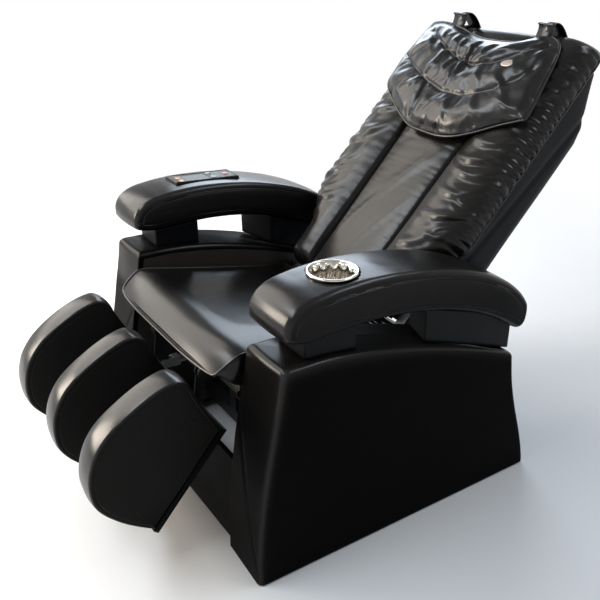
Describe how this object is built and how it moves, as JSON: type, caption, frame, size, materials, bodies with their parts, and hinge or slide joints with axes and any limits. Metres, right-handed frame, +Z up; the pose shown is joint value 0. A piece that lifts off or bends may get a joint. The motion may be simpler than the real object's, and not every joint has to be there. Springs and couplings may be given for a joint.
{
  "type": "massage chair",
  "caption": "Padded reclining massage chair with crescent arms, finned leg rest, cup holder, control pad and a roller carriage in the back",
  "frame": {"origin": "centre of the bounding box at floor level", "axes": "+X to the sitter's left, -Y to the front of the chair, +Z up"},
  "size_m": [0.8, 1.2263, 0.9505],
  "materials": {
    "leather_black": "semi-gloss",
    "leather_back": "satin",
    "shell_cloth": "matt",
    "calf_cloth": "matt",
    "arm_blocks": "satin",
    "painted_steel": "satin",
    "bright_steel": "brushed",
    "grey_metal": "satin",
    "aluminium": "satin",
    "chrome": "polished",
    "plywood": "raw",
    "board_black": "painted",
    "black_plastic": "matt",
    "pump_plastic": "matt",
    "grey_plastic": "matt",
    "rubber": "matt",
    "display": "gloss",
    "orange_key": "gloss",
    "red_key": "gloss",
    "grey_key": "gloss"
  },
  "bodies": {
    "base": {"base_side_rails": "painted_steel", "base_cross_tubes": "painted_steel", "base_posts": "painted_steel", "seat_frame": "painted_steel", "seat_board": "plywood", "seat_cushion": "leather_black", "hinge_plates": "painted_steel", "hinge_pins": "bright_steel", "kick_panel": "black_plastic", "rear_cover": "black_plastic", "left_side_panel": "leather_black", "right_side_panel": "leather_black", "inner_boards": "plywood", "side_bolts": "bright_steel", "left_arm_supports": "arm_blocks", "right_arm_supports": "arm_blocks", "left_armrest": "leather_black", "right_armrest": "leather_black", "cup_holder": "chrome", "control_housing": "black_plastic", "display_window": "display", "control_box": "grey_plastic", "air_pump": "pump_plastic", "power_inlet": "black_plastic", "roller_forks": "painted_steel", "floor_glides": "rubber", "drive_stands": "painted_steel", "recline_actuator": "grey_metal", "legrest_actuator": "grey_metal"},
    "backrest": {"back_uprights": "painted_steel", "back_cross_tubes": "painted_steel", "recline_lever": "painted_steel", "back_pad": "leather_back", "back_shell": "shell_cloth", "guide_rails": "aluminium", "screw_bearings": "aluminium", "screw_motor": "grey_metal"},
    "lead_screw": {"lead_screw": "bright_steel"},
    "massage_carriage": {"carriage_frame": "aluminium", "massage_motor": "grey_metal"},
    "kneading_shaft": {"kneading_shaft": "bright_steel"},
    "left_massage_arm": {"left_massage_arm": "aluminium"},
    "right_massage_arm": {"right_massage_arm": "aluminium"},
    "left_upper_roller": {"left_upper_roller": "rubber"},
    "left_lower_roller": {"left_lower_roller": "rubber"},
    "right_upper_roller": {"right_upper_roller": "rubber"},
    "right_lower_roller": {"right_lower_roller": "rubber"},
    "head_pillow": {"head_pillow": "leather_back"},
    "legrest": {"legrest_board": "board_black", "legrest_arms": "painted_steel", "calf_fins": "leather_black", "calf_pads": "calf_cloth"},
    "recline_rod": {"recline_rod": "bright_steel"},
    "legrest_rod": {"legrest_rod": "bright_steel"},
    "transport_rollers": {"transport_rollers": "rubber"},
    "power_switch": {"power_switch": "red_key"},
    "power_key": {"power_key": "orange_key"},
    "knead_key": {"knead_key": "grey_key"},
    "tap_key": {"tap_key": "grey_key"},
    "recline_key": {"recline_key": "red_key"}
  },
  "joints": [
    {"name": "back_recline", "type": "hinge", "parent": "base", "child": "backrest", "pos_m": [0, 0.11803, 0.32997], "axis": [-1, 0, 0], "range_deg": [-20, 30]},
    {"name": "legrest_lift", "type": "hinge", "parent": "base", "child": "legrest", "pos_m": [0, -0.322, 0.337], "axis": [-1, 0, 0], "range_deg": [-23, 25]},
    {"name": "recline_rod_slide", "type": "slide", "parent": "base", "child": "recline_rod", "axis": [0, -1, 0], "range_m": [-0.0405, 0.0605]},
    {"name": "legrest_rod_slide", "type": "slide", "parent": "base", "child": "legrest_rod", "axis": [0, -1, 0], "range_m": [-0.0375, 0.041]},
    {"name": "carriage_travel", "type": "slide", "parent": "backrest", "child": "massage_carriage", "axis": [0, 0.682, 0.7314], "range_m": [-0.19, 0.185]},
    {"name": "lead_screw_spin", "type": "hinge", "parent": "backrest", "child": "lead_screw", "pos_m": [0, 0.35223, 0.59279], "axis": [0, 0.682, 0.7314], "range_deg": [-2880, 2805]},
    {"name": "kneading_shaft_spin", "type": "hinge", "parent": "massage_carriage", "child": "kneading_shaft", "pos_m": [0, 0.37966, 0.56721], "axis": [-1, 0, 0], "continuous": true},
    {"name": "left_massage_arm_rock", "type": "hinge", "parent": "massage_carriage", "child": "left_massage_arm", "pos_m": [0.05, 0.37966, 0.56721], "axis": [-1, 0, 0], "range_deg": [-8, 8]},
    {"name": "left_upper_roller_spin", "type": "hinge", "parent": "left_massage_arm", "child": "left_upper_roller", "pos_m": [0.067, 0.40985, 0.63478], "axis": [-1, 0, 0], "continuous": true},
    {"name": "left_lower_roller_spin", "type": "hinge", "parent": "left_massage_arm", "child": "left_lower_roller", "pos_m": [0.067, 0.31437, 0.53239], "axis": [-1, 0, 0], "continuous": true},
    {"name": "right_massage_arm_rock", "type": "hinge", "parent": "massage_carriage", "child": "right_massage_arm", "pos_m": [-0.05, 0.37966, 0.56721], "axis": [-1, 0, 0], "range_deg": [-8, 8]},
    {"name": "right_upper_roller_spin", "type": "hinge", "parent": "right_massage_arm", "child": "right_upper_roller", "pos_m": [-0.067, 0.40985, 0.63478], "axis": [-1, 0, 0], "continuous": true},
    {"name": "right_lower_roller_spin", "type": "hinge", "parent": "right_massage_arm", "child": "right_lower_roller", "pos_m": [-0.067, 0.31437, 0.53239], "axis": [-1, 0, 0], "continuous": true},
    {"name": "pillow_flip", "type": "hinge", "parent": "backrest", "child": "head_pillow", "pos_m": [0, 0.52999, 0.96302], "axis": [-1, 0, 0], "range_deg": [0, 110]},
    {"name": "transport_roller_spin", "type": "hinge", "parent": "base", "child": "transport_rollers", "pos_m": [0, 0.34403, 0.033], "axis": [-1, 0, 0], "continuous": true},
    {"name": "power_switch_rock", "type": "hinge", "parent": "base", "child": "power_switch", "pos_m": [-0.062, 0.32893, 0.11608], "axis": [1, 0, 0], "range_deg": [0, 12]},
    {"name": "power_key_press", "type": "slide", "parent": "base", "child": "power_key", "axis": [0, -0.0558, -0.9984], "range_m": [0, 0.002], "stiffness_N_per_m": 300, "springref_m": -0.001},
    {"name": "knead_key_press", "type": "slide", "parent": "base", "child": "knead_key", "axis": [0, -0.0558, -0.9984], "range_m": [0, 0.002], "stiffness_N_per_m": 300, "springref_m": -0.001},
    {"name": "tap_key_press", "type": "slide", "parent": "base", "child": "tap_key", "axis": [0, -0.0558, -0.9984], "range_m": [0, 0.002], "stiffness_N_per_m": 300, "springref_m": -0.001},
    {"name": "recline_key_press", "type": "slide", "parent": "base", "child": "recline_key", "axis": [0, -0.0558, -0.9984], "range_m": [0, 0.002], "stiffness_N_per_m": 300, "springref_m": -0.001}
  ],
  "couplings": [
    {"joint": "recline_rod_slide", "follows": "back_recline", "m_per_rad": 0.1105},
    {"joint": "legrest_rod_slide", "follows": "legrest_lift", "m_per_rad": 0.0885},
    {"joint": "lead_screw_spin", "follows": "carriage_travel", "rad_per_m": 261.8}
  ]
}
